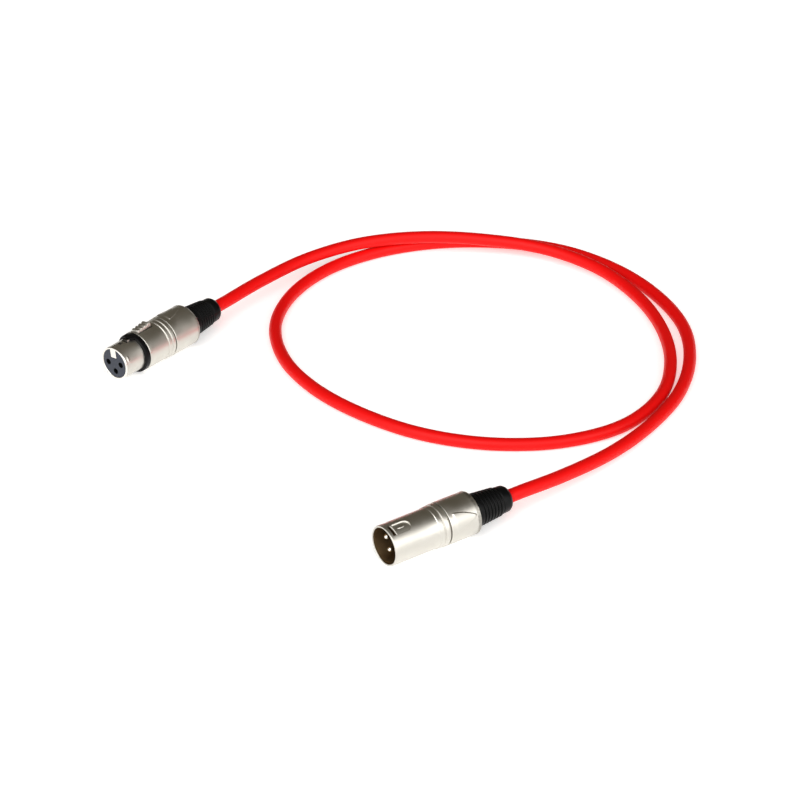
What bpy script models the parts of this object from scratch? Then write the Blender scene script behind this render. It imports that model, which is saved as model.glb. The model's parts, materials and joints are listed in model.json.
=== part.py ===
"""A microphone cable with three-pole plugs, laid on the floor in a loose loop of one and a half turns.

Every plug is modelled in its own frame: +X runs from the mating face to the cable, +Z is the side of
the latch. An empty holds each of those frames where the plug lies. The floor is z = 0.
"""

import math

import bmesh
import bpy
import numpy as np
from mathutils import Vector

MM = 0.001
GAP = 0.3 * MM

# Cable
CABLE_RADIUS = 3.2 * MM
CABLE_POINTS = 80
CORE_RADIUS = 0.7 * MM

# Where the plugs lie: the middle of the mating face, the heading of +X, and the roll about it
MALE_PLACE = (-23.5 * MM, -108.43 * MM)
MALE_HEADING = 0.0
MALE_ROLL = 17.0
FEMALE_PLACE = (-41.44 * MM, 94.84 * MM)
FEMALE_HEADING = 15.1
FEMALE_ROLL = -7.0

# Male plug, along its axis from the mating face
MALE_TUBE_RADIUS = 9.5 * MM
MALE_BORE_RADIUS = 8.6 * MM
MALE_CAVITY_DEPTH = 14.0 * MM
MALE_SEAM = 29.6 * MM
MALE_SLEEVE_RADIUS = 10.2 * MM
MALE_SLEEVE_END = 46.7 * MM
MALE_LENGTH = 67.1 * MM
PETAL_TURN = 46.0

# Female plug, along its axis from the mating face
BARREL_RADIUS = 8.5 * MM
BARREL_BORE_RADIUS = 7.55 * MM
BARREL_LENGTH = 12.3 * MM
BODY_RADIUS = 10.05 * MM
FEMALE_SEAM = 33.0 * MM
FEMALE_SLEEVE_RADIUS = 10.5 * MM
FEMALE_SLEEVE_END = 51.1 * MM
FEMALE_LENGTH = 70.6 * MM

# Poles
POLE_CIRCLE = 4.2 * MM
POLE_ANGLES = (0.0, 180.0, 270.0)
PIN_RADIUS = 1.2 * MM
PIN_SETBACK = 3.1 * MM
CONTACT_RADIUS = 1.6 * MM
CONTACT_BORE = 1.25 * MM

# Latch of the female plug
LATCH_PIVOT = (27.0 * MM, 7.0 * MM)
LATCH_WIDTH = 3.4 * MM
LATCH_PIN_RADIUS = 0.6 * MM
TAB_WIDTH = 4.2 * MM
TAB_FRONT = 16.2 * MM
TAB_REAR = 25.2 * MM
TAB_TOP = 12.2 * MM
SPRING_STATION = 20.0 * MM

# Route of the cable from the female plug to the male plug, in millimetres: one pass of the loop that
# rests on the second, the second pass on the floor, then the run into the male plug.
ROUTE = (
    (61.2, 123.5, 10.3),
    (94.9, 130.3, 10),
    (126.8, 128, 10.1),
    (157.1, 115.7, 9.8),
    (184.1, 95.8, 8.6),
    (206.2, 71.8, 6.6),
    (217.4, 41.1, 4.9),
    (216.2, 8.1, 3.7),
    (205.9, -23.2, 3.25),
    (188.1, -51.1, 3.25),
    (163.6, -72.7, 3.25),
    (132.8, -82.9, 3.25),
    (100.7, -77.7, 3.25),
    (72.2, -60.4, 3.25),
    (50.6, -34.9, 3.25),
    (37.4, -4.2, 3.25),
    (31.6, 28.7, 3.25),
    (34.9, 60.8, 3.25),
    (49.2, 91.1, 3.25),
    (73.7, 113.2, 3.25),
    (104.4, 125, 3.25),
    (137.4, 125.2, 3.25),
    (168.6, 115, 3.25),
    (196.1, 95.6, 3.25),
    (216.2, 70.1, 3.25),
    (226, 38.3, 3.25),
    (225.7, 5.3, 3.25),
    (216.5, -26.9, 3.25),
    (197.6, -54.4, 3.25),
    (172.1, -76, 3.25),
    (142, -90.5, 3.4),
    (110.9, -100.3, 4.9),
    (77.8, -106.1, 7.7),
)

SHELL_SIDES = 28
SMALL_SIDES = 12

FINISHES = {
    "nickel": ((0.62, 0.58, 0.51), 0.33, 1.0),
    "bright_nickel": ((0.80, 0.78, 0.72), 0.22, 1.0),
    "silver_contact": ((0.84, 0.82, 0.76), 0.25, 1.0),
    "spring_steel": ((0.55, 0.54, 0.52), 0.35, 1.0),
    "black_rubber": ((0.012, 0.012, 0.013), 0.55, 0.0),
    "black_plastic": ((0.015, 0.015, 0.017), 0.40, 0.0),
    "slate_plastic": ((0.09, 0.10, 0.13), 0.45, 0.0),
    "clamp_plastic": ((0.72, 0.72, 0.70), 0.50, 0.0),
    "red_pvc": ((0.86, 0.013, 0.010), 0.38, 0.0),
    "white_core": ((0.85, 0.85, 0.82), 0.45, 0.0),
    "blue_core": ((0.03, 0.12, 0.55), 0.45, 0.0),
    "tinned_copper": ((0.75, 0.62, 0.50), 0.40, 1.0),
}


# --- scene and materials ---------------------------------------------------------------------------


def clear_scene():
    """Removes whatever the open file holds."""
    for item in list(bpy.data.objects):
        bpy.data.objects.remove(item, do_unlink=True)


def finish_material(name, finish):
    """One Principled material for the named piece."""
    colour, roughness, metallic = FINISHES[finish]
    material = bpy.data.materials.new(name)
    material.use_nodes = True
    shader = material.node_tree.nodes["Principled BSDF"]
    shader.inputs["Base Color"].default_value = (*colour, 1.0)
    shader.inputs["Roughness"].default_value = roughness
    shader.inputs["Metallic"].default_value = metallic
    material.diffuse_color = (*colour, 1.0)
    return material


def plug_frame(name, place, height, heading, roll):
    """An empty at the middle of a plug's mating face, with +X towards the cable."""
    empty = bpy.data.objects.new(name, None)
    empty.location = (place[0], place[1], height)
    empty.rotation_euler = (math.radians(roll), 0.0, math.radians(heading))
    bpy.context.collection.objects.link(empty)
    return empty


def add_object(name, data, frame, finish=None, location=(0, 0, 0)):
    """Links an object under its plug's frame."""
    item = bpy.data.objects.new(name, data)
    bpy.context.collection.objects.link(item)
    item.parent = frame
    item.location = location
    if finish:
        data.materials.append(finish_material(name, finish))
    return item


def mesh_from(bm, name, smooth=True):
    """Turns a bmesh into a mesh whose faces point out."""
    bmesh.ops.recalc_face_normals(bm, faces=bm.faces)
    mesh = bpy.data.meshes.new(name)
    bm.to_mesh(mesh)
    bm.free()
    if smooth:
        mesh.shade_smooth()
        mesh.set_sharp_from_angle(angle=math.radians(30))
    return mesh


# --- shapes ------------------------------------------------------------------------------------------


def turned_mesh(name, outline, sides, along="X"):
    """Spins a closed outline of (station, radius) points; points of radius zero close on the axis."""
    bm = bmesh.new()
    lift = {"X": lambda s, r: (s, 0, r), "Y": lambda s, r: (0, s, r), "Z": lambda s, r: (r, 0, s)}[along]
    axis = {"X": (1, 0, 0), "Y": (0, 1, 0), "Z": (0, 0, 1)}[along]
    points = [bm.verts.new(lift(station, radius)) for station, radius in outline]
    edges = [bm.edges.new(pair) for pair in zip(points, points[1:])]
    if outline[0][1] > 0:
        edges.append(bm.edges.new((points[-1], points[0])))
    bmesh.ops.spin(bm, geom=points + edges, cent=(0, 0, 0), axis=axis,
                   angle=2 * math.pi, steps=sides, use_merge=True)
    bmesh.ops.remove_doubles(bm, verts=bm.verts, dist=0.001 * MM)
    return mesh_from(bm, name)


def turned(name, outline, frame, finish, sides=SHELL_SIDES, centre=(0, 0)):
    """A turned piece about the line through centre, along the plug's axis."""
    mesh = turned_mesh(name, outline, sides)
    return add_object(name, mesh, frame, finish, (0, centre[0], centre[1]))


def box_mesh(name, low, high, smooth=False):
    """A box between two corners."""
    bm = bmesh.new()
    bmesh.ops.create_cube(bm, size=1)
    size = Vector(high) - Vector(low)
    bmesh.ops.scale(bm, vec=size, verts=bm.verts)
    bmesh.ops.translate(bm, vec=(Vector(low) + Vector(high)) / 2, verts=bm.verts)
    return mesh_from(bm, name, smooth)


def extruded_mesh(name, outline, half_width, bevel=0.0):
    """A plate whose outline lies in the XZ plane, as thick as twice half_width along Y."""
    bm = bmesh.new()
    face = bm.faces.new([bm.verts.new((x, -half_width, z)) for x, z in outline])
    grown = bmesh.ops.extrude_face_region(bm, geom=[face])
    moved = [item for item in grown["geom"] if isinstance(item, bmesh.types.BMVert)]
    bmesh.ops.translate(bm, vec=(0, 2 * half_width, 0), verts=moved)
    if bevel:
        bmesh.ops.bevel(bm, geom=bm.edges, offset=bevel, segments=1, profile=0.5, affect="EDGES")
    return mesh_from(bm, name)


def combine(piece, tool_mesh, frame, operation, location=(0, 0, 0), rotation=(0, 0, 0)):
    """Cuts a tool's shape out of a piece, or joins it, and keeps the tool as a hidden guide."""
    tool = add_object(tool_mesh.name, tool_mesh, frame, location=location)
    tool.rotation_euler = rotation
    tool.hide_render = True
    tool.display_type = "WIRE"
    modifier = piece.modifiers.new(operation.lower(), "BOOLEAN")
    modifier.operation = operation
    modifier.solver = "EXACT"
    modifier.object = tool


def cut(piece, cutter_mesh, frame, location=(0, 0, 0)):
    """Takes a cutter's shape out of a piece."""
    combine(piece, cutter_mesh, frame, "DIFFERENCE", location)


def join(piece, extra_mesh, frame, rotation=(0, 0, 0)):
    """Adds an extra shape to a piece."""
    combine(piece, extra_mesh, frame, "UNION", rotation=rotation)


def wire(name, points, radius, frame, finish, resolution=2):
    """A round wire or cable through the given points, with flat closed ends."""
    curve = bpy.data.curves.new(name, "CURVE")
    curve.dimensions = "3D"
    curve.bevel_depth = radius
    curve.bevel_resolution = resolution
    curve.use_fill_caps = True
    spline = curve.splines.new("POLY")
    spline.points.add(len(points) - 1)
    for spot, point in zip(spline.points, points):
        spot.co = (*point, 1.0)
    return add_object(name, curve, frame, finish)


def pole_centre(angle):
    """Where a pole stands on the circle, in the plug's YZ plane."""
    turn = math.radians(angle)
    return POLE_CIRCLE * math.cos(turn), POLE_CIRCLE * math.sin(turn)


def smooth_path(points, count):
    """Evenly spaced points on a centripetal curve that goes through every given point."""
    points = np.array(points)
    padded = np.vstack([2 * points[0] - points[1], points, 2 * points[-1] - points[-2]])
    dense = []
    for a, b, c, d in zip(padded, padded[1:], padded[2:], padded[3:]):
        steps = [math.sqrt(np.linalg.norm(q - p)) for p, q in ((a, b), (b, c), (c, d))]
        t1, t2, t3 = np.cumsum(steps)
        for t in np.linspace(t1, t2, 24, endpoint=False):
            ab = (t1 - t) / t1 * a + t / t1 * b
            bc = (t2 - t) / (t2 - t1) * b + (t - t1) / (t2 - t1) * c
            cd = (t3 - t) / (t3 - t2) * c + (t - t2) / (t3 - t2) * d
            abc = (t2 - t) / t2 * ab + t / t2 * bc
            bcd = (t3 - t) / (t3 - t1) * bc + (t - t1) / (t3 - t1) * cd
            dense.append((t2 - t) / (t2 - t1) * abc + (t - t1) / (t2 - t1) * bcd)
    dense = np.array(dense + [points[-1]])
    length = np.concatenate([[0], np.cumsum(np.linalg.norm(np.diff(dense, axis=0), axis=1))])
    stations = np.linspace(0, length[-1], count)
    return np.stack([np.interp(stations, length, dense[:, axis]) for axis in range(3)], axis=1)


# --- pieces that both plugs have ---------------------------------------------------------------------


def sleeve(name, frame, seam, end, radius, thread_radius):
    """Rear half of a plug's shell: screws over the front half and closes on the gland nut."""
    start = seam + GAP
    return turned(name, (
        (start, thread_radius + GAP), (start, radius - 0.2 * MM), (start + 0.3 * MM, radius),
        (end - 3.2 * MM, radius), (end - 1.6 * MM, radius - 0.45 * MM),
        (end - 0.5 * MM, radius - 1.1 * MM), (end, 8.7 * MM), (end, 8.25 * MM),
        (start + 4.6 * MM, 8.25 * MM), (start + 4.6 * MM, thread_radius + GAP),
    ), frame, "nickel")


def petal_mesh(name, seam, radius):
    """A leaf that stands out of the sleeve, highest at the seam and lowest at the rear."""
    bm = bmesh.new()
    front, reach, steps = seam + 1.2 * MM, 13.5 * MM, 6
    rings = []
    for step in range(steps + 1):
        share = 0.94 * step / steps
        half = math.radians(26) * (1 - share ** 1.7)
        top, under = radius + (0.08 + 0.2 * (1 - share)) * MM, radius - 0.5 * MM
        spots = [(top, turn) for turn in (-1, -0.5, 0, 0.5, 1)]
        spots += [(under, turn) for turn in (1, 0.5, 0, -0.5, -1)]
        rings.append([bm.verts.new((front + share * reach, level * math.sin(half * turn),
                                    level * math.cos(half * turn))) for level, turn in spots])
    for first, second in zip(rings, rings[1:]):
        for index in range(len(first)):
            bm.faces.new((first[index], first[index - 1], second[index - 1], second[index]))
    bm.faces.new(rings[0])
    bm.faces.new(reversed(rings[-1]))
    return mesh_from(bm, name, smooth=False)


def boot(name, frame, start, end):
    """Tapered, ribbed rubber strain relief behind the shell."""
    first, pitch, ribs = start + 3.0 * MM, (end - start - 9.1 * MM) / 6, 6
    outline = [(start + GAP, CABLE_RADIUS + GAP), (start + GAP, 7.8 * MM), (start + 0.6 * MM, 8.0 * MM)]
    for rib in range(ribs):
        crest = (7.85 - 0.16 * rib) * MM
        at = first + rib * pitch
        outline += [(at - 0.35 * MM, crest), (at, crest - 0.5 * MM),
                    (at + 0.5 * MM, crest - 0.5 * MM), (at + 0.85 * MM, crest - 0.08 * MM)]
    tail = first + ribs * pitch
    outline += [(tail - 0.3 * MM, 6.9 * MM), (tail, 6.2 * MM), (tail + 0.7 * MM, 6.1 * MM),
                (tail + 1.1 * MM, 6.35 * MM), (end - 1.6 * MM, 6.15 * MM), (end - 0.5 * MM, 5.6 * MM),
                (end, 4.6 * MM), (end, CABLE_RADIUS + GAP)]
    return turned(name, outline, frame, "black_rubber", sides=24)


def chuck(name, frame, start):
    """Slit collet that grips the jacket."""
    bore = CABLE_RADIUS + GAP
    piece = turned(name, (
        (start, bore), (start, 6.6 * MM), (start + 4 * MM, 6.6 * MM), (start + 12 * MM, 4.6 * MM),
        (start + 12 * MM, bore),
    ), frame, "clamp_plastic", sides=20)
    slit = 0.5 * MM
    reach = 8 * MM
    for axis in range(2):
        low = [start - 1 * MM, -reach, -reach]
        high = [start + 6.5 * MM, reach, reach]
        low[1 + axis], high[1 + axis] = -slit, slit
        cut(piece, box_mesh(f"{name}_slit_{axis + 1}", low, high), frame)
    return piece


def gland_nut(name, frame, start, end):
    """Threaded ring in the sleeve's end, whose cone closes the chuck."""
    return turned(name, (
        (start, 6.6 * MM), (start, 7.9 * MM), (end, 7.9 * MM), (end, 5.1 * MM),
    ), frame, "black_plastic", sides=24)


def leads(prefix, frame, tails, jacket_end):
    """Two insulated cores and the screen's drain lead, from the jacket's end to the solder cups."""
    names = (("core_hot", "white_core"), ("core_cold", "blue_core"), ("shield_lead", "tinned_copper"))
    for (name, finish), angle in zip(names, POLE_ANGLES):
        y, z = pole_centre(angle)
        inner = 0.42
        start = jacket_end - GAP
        stations = np.linspace(tails + GAP, start, 7)
        points = []
        for station in stations:
            share = (station - stations[0]) / (stations[-1] - stations[0])
            ease = share * share * (3 - 2 * share)
            scale = 1 - (1 - inner) * ease
            points.append((station, y * scale, z * scale))
        wire(f"{prefix}_{name}", points, CORE_RADIUS, frame, finish, resolution=0)


# --- male plug -----------------------------------------------------------------------------------------


def male_front_shell(frame):
    """Thin tube round the pins, with the latch window, the D-shaped pocket and the stepped rings."""
    outer, bore = MALE_TUBE_RADIUS, MALE_BORE_RADIUS
    thread = 9.1 * MM
    seam = MALE_SEAM
    piece = turned("male_front_shell", (
        (0, bore + 0.15 * MM), (0, outer - 0.2 * MM), (0.25 * MM, outer), (24.0 * MM, outer),
        (24.4 * MM, outer + 0.25 * MM), (26.3 * MM, outer + 0.3 * MM), (26.6 * MM, outer + 0.15 * MM),
        (27.0 * MM, outer + 0.5 * MM), (29.2 * MM, outer + 0.55 * MM), (seam, outer + 0.4 * MM),
        (seam, thread), (seam + 4.2 * MM, thread), (seam + 4.2 * MM, bore),
        (MALE_CAVITY_DEPTH - GAP, bore), (MALE_CAVITY_DEPTH - 0.4 * MM, bore - 0.5 * MM),
        (MALE_CAVITY_DEPTH - 1.0 * MM, bore - 0.5 * MM), (MALE_CAVITY_DEPTH - 1.1 * MM, bore),
        (0.15 * MM, bore),
    ), frame, "nickel")
    window = box_mesh("male_latch_window", (1.6 * MM, -2.2 * MM, 7 * MM), (3.3 * MM, 2.2 * MM, 11 * MM))
    cut(piece, window, frame)
    cut(piece, d_cutter("male_latch_pocket", 3.9 * MM, 8.0 * MM, 3.0 * MM, outer - 0.45 * MM), frame)
    return piece


def d_cutter(name, front, length, half_width, floor):
    """A D seen from above: straight front edge, round rear, from the given floor upwards."""
    bm = bmesh.new()
    outline = [(front, -half_width), (front, half_width)]
    straight = front + length - half_width
    for step in range(9):
        turn = math.pi / 2 - math.pi * step / 8
        outline.append((straight + half_width * math.cos(turn), half_width * math.sin(turn)))
    face = bm.faces.new([bm.verts.new((x, y, floor)) for x, y in outline])
    grown = bmesh.ops.extrude_face_region(bm, geom=[face])
    moved = [item for item in grown["geom"] if isinstance(item, bmesh.types.BMVert)]
    bmesh.ops.translate(bm, vec=(0, 0, 3 * MM), verts=moved)
    return mesh_from(bm, name, smooth=False)


def male_insert(frame):
    """Moulded disc that carries the three pins."""
    radius = MALE_BORE_RADIUS - GAP
    piece = turned("male_insert", (
        (MALE_CAVITY_DEPTH, 0), (MALE_CAVITY_DEPTH, radius), (23 * MM, radius), (23 * MM, 0),
    ), frame, "slate_plastic")
    bore = turned_mesh("male_pin_bore", (
        (13 * MM, 0), (13 * MM, PIN_RADIUS + GAP), (24 * MM, PIN_RADIUS + GAP), (24 * MM, 0),
    ), SMALL_SIDES)
    for angle in POLE_ANGLES:
        y, z = pole_centre(angle)
        cut(piece, bore, frame, (0, y, z))
    return piece


def male_pins(frame):
    """Three round-ended pins with solder cups at the rear."""
    r = PIN_RADIUS
    tip, rear = PIN_SETBACK, 27.0 * MM
    outline = [(tip, 0)]
    for step in range(1, 4):
        turn = math.pi / 2 * step / 3
        outline.append((tip + r * (1 - math.cos(turn)), r * math.sin(turn)))
    outline += [(rear, r), (rear, 0.8 * MM), (rear - 2.5 * MM, 0.8 * MM), (rear - 2.5 * MM, 0)]
    for number, angle in enumerate(POLE_ANGLES, start=1):
        turned(f"male_pin_{number}", outline, frame, "silver_contact", SMALL_SIDES, pole_centre(angle))
    return rear


def male_plug(frame):
    """All the pieces of the male plug; returns where its jacket ends."""
    male_front_shell(frame)
    rear = sleeve("male_rear_sleeve", frame, MALE_SEAM, MALE_SLEEVE_END, MALE_SLEEVE_RADIUS, 9.1 * MM)
    petal = petal_mesh("male_petal", MALE_SEAM, MALE_SLEEVE_RADIUS)
    join(rear, petal, frame, (math.radians(PETAL_TURN), 0, 0))
    male_insert(frame)
    tails = male_pins(frame)
    jacket_end = 35.3 * MM
    chuck("male_chuck", frame, jacket_end - 1.5 * MM + GAP)
    gland_nut("male_gland_nut", frame, 40.3 * MM, MALE_SLEEVE_END)
    boot("male_boot", frame, MALE_SLEEVE_END, MALE_LENGTH)
    leads("male", frame, tails, jacket_end)
    return jacket_end


# --- female plug ---------------------------------------------------------------------------------------


def female_front_shell(frame):
    """Barrel and body in one casting, slotted for the latch, with the stepped rings at its rear."""
    outer, bore, body = BARREL_RADIUS, BARREL_BORE_RADIUS, BODY_RADIUS
    seam, thread = FEMALE_SEAM, 8.9 * MM
    body_start = BARREL_LENGTH + 3.0 * MM
    piece = turned("female_front_shell", (
        (0, bore + 0.15 * MM), (0, outer - 0.25 * MM), (0.3 * MM, outer), (body_start, outer),
        (body_start, body - 0.2 * MM), (body_start + 0.25 * MM, body), (27.9 * MM, body),
        (28.1 * MM, body - 0.2 * MM), (28.5 * MM, body - 0.15 * MM), (28.7 * MM, body + 0.1 * MM),
        (30.4 * MM, body + 0.1 * MM), (30.7 * MM, body - 0.05 * MM), (31.1 * MM, body + 0.2 * MM),
        (seam, body + 0.2 * MM), (seam, thread), (seam + 4.2 * MM, thread), (seam + 4.2 * MM, bore),
        (0.15 * MM, bore),
    ), frame, "nickel")
    key = box_mesh("female_key", (0.2 * MM, -1.8 * MM, 3.05 * MM), (4.3 * MM, 1.8 * MM, 8.0 * MM))
    join(piece, key, frame)
    low = 6.0 * MM
    half = LATCH_WIDTH / 2 + 0.4 * MM
    tab_half = TAB_WIDTH / 2 + 0.6 * MM
    cut(piece, box_mesh("female_latch_slot", (7.9 * MM, -half, low), (15.2 * MM, half, 12 * MM)), frame)
    cut(piece, box_mesh("female_arm_tunnel", (15.1 * MM, -half, low), (16.0 * MM, half, 8.9 * MM)), frame)
    cut(piece, box_mesh("female_tab_slot", (15.9 * MM, -tab_half, low), (26 * MM, tab_half, 13 * MM)), frame)
    cut(piece, box_mesh("female_eye_pocket", (25.9 * MM, -half, low), (29 * MM, half, 8.9 * MM)), frame)
    cut(piece, box_mesh("female_tip_hole", (4.7 * MM, -0.9 * MM, low), (6.8 * MM, 0.9 * MM, 12 * MM)), frame)
    reach = 4.6 * MM
    hole = LATCH_PIN_RADIUS + GAP
    pin_hole = turned_mesh("female_pin_hole", ((-reach, 0), (-reach, hole), (reach, hole), (reach, 0)),
                           SMALL_SIDES, along="Y")
    cut(piece, pin_hole, frame, (LATCH_PIVOT[0], 0, LATCH_PIVOT[1]))
    return piece


def colour_ring(frame):
    """Black ring between barrel and body, with a short tongue over the latch."""
    start, end = BARREL_LENGTH + GAP, BARREL_LENGTH + 3.0 * MM - GAP
    inner, outer = BARREL_RADIUS + GAP, 9.95 * MM
    piece = turned("female_colour_ring", (
        (start, inner), (start, outer - 0.3 * MM), (start + 0.3 * MM, outer), (end, outer), (end, inner),
    ), frame, "black_plastic")
    join(piece, box_mesh("female_ring_tongue", (start - 1.8 * MM, -3.2 * MM, inner + 0.2 * MM),
                         (start + 1.0 * MM, 3.2 * MM, outer - 0.25 * MM)), frame)
    return piece


def female_insert(frame):
    """Moulded cylinder flush with the barrel's rim: keyway on the latch side, three stepped bores."""
    front, rear, radius = 0.2 * MM, 22.0 * MM, BARREL_BORE_RADIUS - GAP
    piece = turned("female_insert", (
        (front, 0), (front, radius), (rear, radius), (rear, 0),
    ), frame, "slate_plastic")
    bore = turned_mesh("female_contact_bore", (
        (-1 * MM, 0), (-1 * MM, 1.45 * MM), (2.5 * MM, 1.45 * MM), (2.5 * MM, CONTACT_RADIUS + GAP),
        (rear + 1 * MM, CONTACT_RADIUS + GAP), (rear + 1 * MM, 0),
    ), SMALL_SIDES)
    for angle in POLE_ANGLES:
        y, z = pole_centre(angle)
        cut(piece, bore, frame, (0, y, z))
    keyway = box_mesh("female_keyway", (-1 * MM, -2.1 * MM, 2.75 * MM), (rear + 1 * MM, 2.1 * MM, 9 * MM))
    cut(piece, keyway, frame)
    return piece


def female_contacts(frame):
    """Three sockets with solder cups at the rear."""
    front, rear = 2.8 * MM, 26.5 * MM
    outline = (
        (18 * MM, 0), (18 * MM, CONTACT_BORE), (front, CONTACT_BORE), (front, CONTACT_RADIUS),
        (20 * MM, CONTACT_RADIUS), (20.6 * MM, 1.25 * MM), (rear, 1.25 * MM), (rear, 0.8 * MM),
        (rear - 2.5 * MM, 0.8 * MM), (rear - 2.5 * MM, 0),
    )
    for number, angle in enumerate(POLE_ANGLES, start=1):
        centre = pole_centre(angle)
        turned(f"female_contact_{number}", outline, frame, "silver_contact", SMALL_SIDES, centre)
    return rear


def latch_lever(frame):
    """Lever with a hook at its front, a ribbed thumb tab and an eye round the pin; turns on the pin."""
    px, pz = LATCH_PIVOT
    top, under = 8.3 * MM, 7.5 * MM
    outline = [(8.7 * MM, under), (8.7 * MM, top), (9.2 * MM, 9.1 * MM), (10.4 * MM, 9.1 * MM),
               (10.9 * MM, top), (TAB_FRONT, top), (TAB_FRONT, TAB_TOP - 1.4 * MM)]
    ridges = 4
    pitch = (TAB_REAR - TAB_FRONT) / ridges
    for ridge in range(ridges):
        at = TAB_FRONT + ridge * pitch
        rise = 0.3 * MM * ridge
        outline += [(at + 0.5 * MM, TAB_TOP - 0.9 * MM + rise), (at + 1.4 * MM, TAB_TOP - 0.9 * MM + rise),
                    (at + pitch - 0.3 * MM, TAB_TOP - 1.4 * MM + rise)]
    outline[-1] = (TAB_REAR, TAB_TOP - 0.6 * MM)
    outline += [(TAB_REAR, top), (px, pz + 1.5 * MM), (px + 1.1 * MM, pz + 1.0 * MM),
                (px + 1.5 * MM, pz), (px + 1.1 * MM, pz - 1.0 * MM), (px, pz - 1.5 * MM),
                (px - 1.3 * MM, pz - 0.9 * MM), (px - 2.4 * MM, under)]
    outline = [(x - px, z - pz) for x, z in outline]
    mesh = extruded_mesh("female_latch_lever", outline, LATCH_WIDTH / 2)
    piece = add_object("female_latch_lever", mesh, frame, "bright_nickel", (px, 0, pz))
    reach = 3 * MM
    hole = LATCH_PIN_RADIUS + GAP
    eye = turned_mesh("female_lever_eye", ((-reach, 0), (-reach, hole), (reach, hole), (reach, 0)),
                      SMALL_SIDES, along="Y")
    cut(piece, eye, frame, (px, 0, pz))
    return piece


def latch_pin(frame):
    """Pin across the body on which the lever turns."""
    reach = 4.3 * MM
    mesh = turned_mesh("female_latch_pin", (
        (-reach, 0), (-reach, LATCH_PIN_RADIUS), (reach, LATCH_PIN_RADIUS), (reach, 0),
    ), SMALL_SIDES, along="Y")
    return add_object("female_latch_pin", mesh, frame, "spring_steel", (LATCH_PIVOT[0], 0, LATCH_PIVOT[1]))


def latch_spring(frame):
    """Small coil spring between the insert's keyway and the lever."""
    wire_radius, coil_radius, turns = 0.2 * MM, 1.2 * MM, 4
    low, high = 2.75 * MM + GAP + wire_radius, 7.5 * MM - GAP - wire_radius
    count = turns * 10
    points = []
    for step in range(count + 1):
        turn = 2 * math.pi * turns * step / count
        points.append((SPRING_STATION + coil_radius * math.cos(turn), coil_radius * math.sin(turn),
                       low + (high - low) * step / count))
    return wire("female_latch_spring", points, wire_radius, frame, "spring_steel", resolution=0)


def female_plug(frame):
    """All the pieces of the female plug; returns where its jacket ends."""
    female_front_shell(frame)
    rear = sleeve("female_rear_sleeve", frame, FEMALE_SEAM, FEMALE_SLEEVE_END, FEMALE_SLEEVE_RADIUS,
                  8.9 * MM)
    join(rear, petal_mesh("female_petal", FEMALE_SEAM, FEMALE_SLEEVE_RADIUS), frame)
    colour_ring(frame)
    female_insert(frame)
    tails = female_contacts(frame)
    latch_lever(frame)
    latch_pin(frame)
    latch_spring(frame)
    jacket_end = 39.7 * MM
    chuck("female_chuck", frame, jacket_end - 1.5 * MM + GAP)
    gland_nut("female_gland_nut", frame, 44.7 * MM, FEMALE_SLEEVE_END)
    boot("female_boot", frame, FEMALE_SLEEVE_END, FEMALE_LENGTH)
    leads("female", frame, tails, jacket_end)
    return jacket_end


# --- cable ---------------------------------------------------------------------------------------------


def on_axis(place, height, heading, station):
    """A point on a plug's axis, in the world."""
    turn = math.radians(heading)
    return place[0] + station * math.cos(turn), place[1] + station * math.sin(turn), height


def cable_jacket(female_height, female_end, male_height, male_end):
    """The jacket from one plug's chuck to the other's, straight inside the plugs."""
    inside = (female_end, 53 * MM, FEMALE_LENGTH, FEMALE_LENGTH + 8 * MM)
    points = [on_axis(FEMALE_PLACE, female_height, FEMALE_HEADING, station) for station in inside]
    points += [tuple(value * MM for value in point) for point in ROUTE]
    inside = (MALE_LENGTH + 8 * MM, MALE_LENGTH, 50 * MM, male_end)
    points += [on_axis(MALE_PLACE, male_height, MALE_HEADING, station) for station in inside]
    path = smooth_path(points, CABLE_POINTS)
    return wire("cable_jacket", path, CABLE_RADIUS, None, "red_pvc")


def main():
    """Builds both plugs and the cable between them."""
    clear_scene()
    male_height = MALE_SLEEVE_RADIUS
    female_height = FEMALE_SLEEVE_RADIUS
    male_frame = plug_frame("male_plug", MALE_PLACE, male_height, MALE_HEADING, MALE_ROLL)
    female_frame = plug_frame("female_plug", FEMALE_PLACE, female_height, FEMALE_HEADING, FEMALE_ROLL)
    male_end = male_plug(male_frame)
    female_end = female_plug(female_frame)
    cable_jacket(female_height, female_end, male_height, male_end)


main()
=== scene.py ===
"""Looks of a balanced microphone cable with a female plug at one end and a male plug at the other.

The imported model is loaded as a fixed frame. Every shown piece is then turned, cut or pressed to the
same sizes with more detail, dressed in a procedural finish and set to ride on its body.
"""

from __future__ import annotations

import json
import logging
import math
from collections.abc import Callable, Iterable, Sequence
from dataclasses import dataclass
from enum import Enum

import bmesh
import bpy
import numpy as np
from mathutils import Matrix, Vector


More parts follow.
